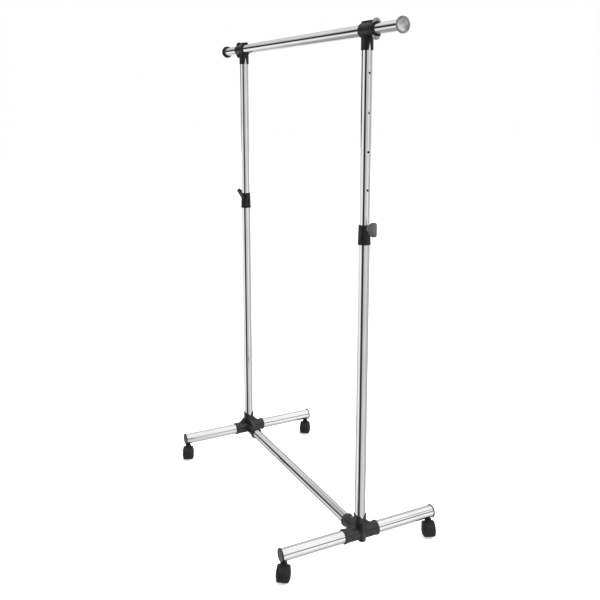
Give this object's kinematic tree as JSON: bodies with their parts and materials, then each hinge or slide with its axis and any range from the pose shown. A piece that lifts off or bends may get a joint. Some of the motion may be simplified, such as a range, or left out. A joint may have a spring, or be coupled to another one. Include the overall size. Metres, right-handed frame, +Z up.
{
  "type": "rolling garment rack",
  "caption": "Height-adjustable rolling garment rack with a telescoping hanging rail, tubular frame and swivel casters.",
  "frame": {"origin": "on the floor, midway between the two uprights and midway along the feet", "axes": "+Z up, X along the hanging rail with the near upright at +X, Y along the feet"},
  "size_m": [1.02, 0.4921, 1.3565],
  "materials": {
    "chrome_tube": "polished",
    "black_plastic": "satin",
    "knob_plastic": "semi-gloss",
    "grey_plastic": "satin",
    "wheel_plastic": "satin",
    "steel": "satin"
  },
  "bodies": {
    "base_frame": {"foot_tube_near": "chrome_tube", "lower_upright_near": "chrome_tube", "foot_plug_near_left": "grey_plastic", "foot_plug_near_right": "grey_plastic", "lower_connector_near": "black_plastic", "height_collar_near": "black_plastic", "foot_screw_near": "steel", "foot_tube_far": "chrome_tube", "lower_upright_far": "chrome_tube", "foot_plug_far_left": "grey_plastic", "foot_plug_far_right": "grey_plastic", "lower_connector_far": "black_plastic", "height_collar_far": "black_plastic", "foot_screw_far": "steel", "bottom_rail": "chrome_tube", "caster_near_left_stem": "steel", "caster_near_right_stem": "steel", "caster_far_left_stem": "steel", "caster_far_right_stem": "steel"},
    "upper_frame": {"upper_upright_near": "chrome_tube", "top_connector_near": "black_plastic", "upper_upright_far": "chrome_tube", "top_connector_far": "black_plastic", "main_rail": "chrome_tube"},
    "knob_near": {"wing_knob_near": "knob_plastic"},
    "ring_near": {"lock_ring_near": "knob_plastic"},
    "extension_near": {"extension_rail_near": "chrome_tube", "rail_end_cap_near": "grey_plastic"},
    "knob_far": {"wing_knob_far": "knob_plastic"},
    "ring_far": {"lock_ring_far": "knob_plastic"},
    "extension_far": {"extension_rail_far": "chrome_tube", "rail_end_cap_far": "grey_plastic"},
    "caster_near_left": {"caster_near_left_hood": "black_plastic", "caster_near_left_axle": "steel"},
    "caster_near_left_wheel_a": {"caster_near_left_wheel_a": "wheel_plastic"},
    "caster_near_left_wheel_b": {"caster_near_left_wheel_b": "wheel_plastic"},
    "caster_near_right": {"caster_near_right_hood": "black_plastic", "caster_near_right_axle": "steel"},
    "caster_near_right_wheel_a": {"caster_near_right_wheel_a": "wheel_plastic"},
    "caster_near_right_wheel_b": {"caster_near_right_wheel_b": "wheel_plastic"},
    "caster_far_left": {"caster_far_left_hood": "black_plastic", "caster_far_left_axle": "steel"},
    "caster_far_left_wheel_a": {"caster_far_left_wheel_a": "wheel_plastic"},
    "caster_far_left_wheel_b": {"caster_far_left_wheel_b": "wheel_plastic"},
    "caster_far_right": {"caster_far_right_hood": "black_plastic", "caster_far_right_axle": "steel"},
    "caster_far_right_wheel_a": {"caster_far_right_wheel_a": "wheel_plastic"},
    "caster_far_right_wheel_b": {"caster_far_right_wheel_b": "wheel_plastic"}
  },
  "joints": [
    {"name": "height_slide", "type": "slide", "parent": "base_frame", "child": "upper_frame", "axis": [0, 0, 1], "range_m": [-0.364, 0.182]},
    {"name": "knob_turn_near", "type": "hinge", "parent": "base_frame", "child": "knob_near", "pos_m": [0.366, 0, 0.871], "axis": [1, 0, 0], "range_deg": [0, 990]},
    {"name": "ring_turn_near", "type": "hinge", "parent": "upper_frame", "child": "ring_near", "pos_m": [0.366, 0, 1.332], "axis": [1, 0, 0], "range_deg": [0, 90]},
    {"name": "extension_slide_near", "type": "slide", "parent": "upper_frame", "child": "extension_near", "axis": [1, 0, 0], "range_m": [-0.085, 0.19]},
    {"name": "knob_turn_far", "type": "hinge", "parent": "base_frame", "child": "knob_far", "pos_m": [-0.366, 0, 0.871], "axis": [-1, 0, 0], "range_deg": [0, 990]},
    {"name": "ring_turn_far", "type": "hinge", "parent": "upper_frame", "child": "ring_far", "pos_m": [-0.366, 0, 1.332], "axis": [-1, 0, 0], "range_deg": [0, 90]},
    {"name": "extension_slide_far", "type": "slide", "parent": "upper_frame", "child": "extension_far", "axis": [-1, 0, 0], "range_m": [-0.085, 0.19]},
    {"name": "caster_near_left_swivel", "type": "hinge", "parent": "base_frame", "child": "caster_near_left", "pos_m": [0.366, -0.2195, 0.045], "axis": [0, 0, 1], "continuous": true},
    {"name": "caster_near_left_spin_a", "type": "hinge", "parent": "caster_near_left", "child": "caster_near_left_wheel_a", "pos_m": [0.37263, -0.22397, 0.02], "axis": [-0.5592, -0.829, 0], "continuous": true},
    {"name": "caster_near_left_spin_b", "type": "hinge", "parent": "caster_near_left", "child": "caster_near_left_wheel_b", "pos_m": [0.37263, -0.22397, 0.02], "axis": [-0.5592, -0.829, 0], "continuous": true},
    {"name": "caster_near_right_swivel", "type": "hinge", "parent": "base_frame", "child": "caster_near_right", "pos_m": [0.366, 0.2195, 0.045], "axis": [0, 0, 1], "continuous": true},
    {"name": "caster_near_right_spin_a", "type": "hinge", "parent": "caster_near_right", "child": "caster_near_right_wheel_a", "pos_m": [0.37342, 0.2165, 0.02], "axis": [-0.3746, -0.9272, 0], "continuous": true},
    {"name": "caster_near_right_spin_b", "type": "hinge", "parent": "caster_near_right", "child": "caster_near_right_wheel_b", "pos_m": [0.37342, 0.2165, 0.02], "axis": [-0.3746, -0.9272, 0], "continuous": true},
    {"name": "caster_far_left_swivel", "type": "hinge", "parent": "base_frame", "child": "caster_far_left", "pos_m": [-0.366, -0.2195, 0.045], "axis": [0, 0, 1], "continuous": true},
    {"name": "caster_far_left_spin_a", "type": "hinge", "parent": "caster_far_left", "child": "caster_far_left_wheel_a", "pos_m": [-0.35858, -0.2225, 0.02], "axis": [-0.3746, -0.9272, 0], "continuous": true},
    {"name": "caster_far_left_spin_b", "type": "hinge", "parent": "caster_far_left", "child": "caster_far_left_wheel_b", "pos_m": [-0.35858, -0.2225, 0.02], "axis": [-0.3746, -0.9272, 0], "continuous": true},
    {"name": "caster_far_right_swivel", "type": "hinge", "parent": "base_frame", "child": "caster_far_right", "pos_m": [-0.366, 0.2195, 0.045], "axis": [0, 0, 1], "continuous": true},
    {"name": "caster_far_right_spin_a", "type": "hinge", "parent": "caster_far_right", "child": "caster_far_right_wheel_a", "pos_m": [-0.35937, 0.21503, 0.02], "axis": [-0.5592, -0.829, 0], "continuous": true},
    {"name": "caster_far_right_spin_b", "type": "hinge", "parent": "caster_far_right", "child": "caster_far_right_wheel_b", "pos_m": [-0.35937, 0.21503, 0.02], "axis": [-0.5592, -0.829, 0], "continuous": true}
  ]
}
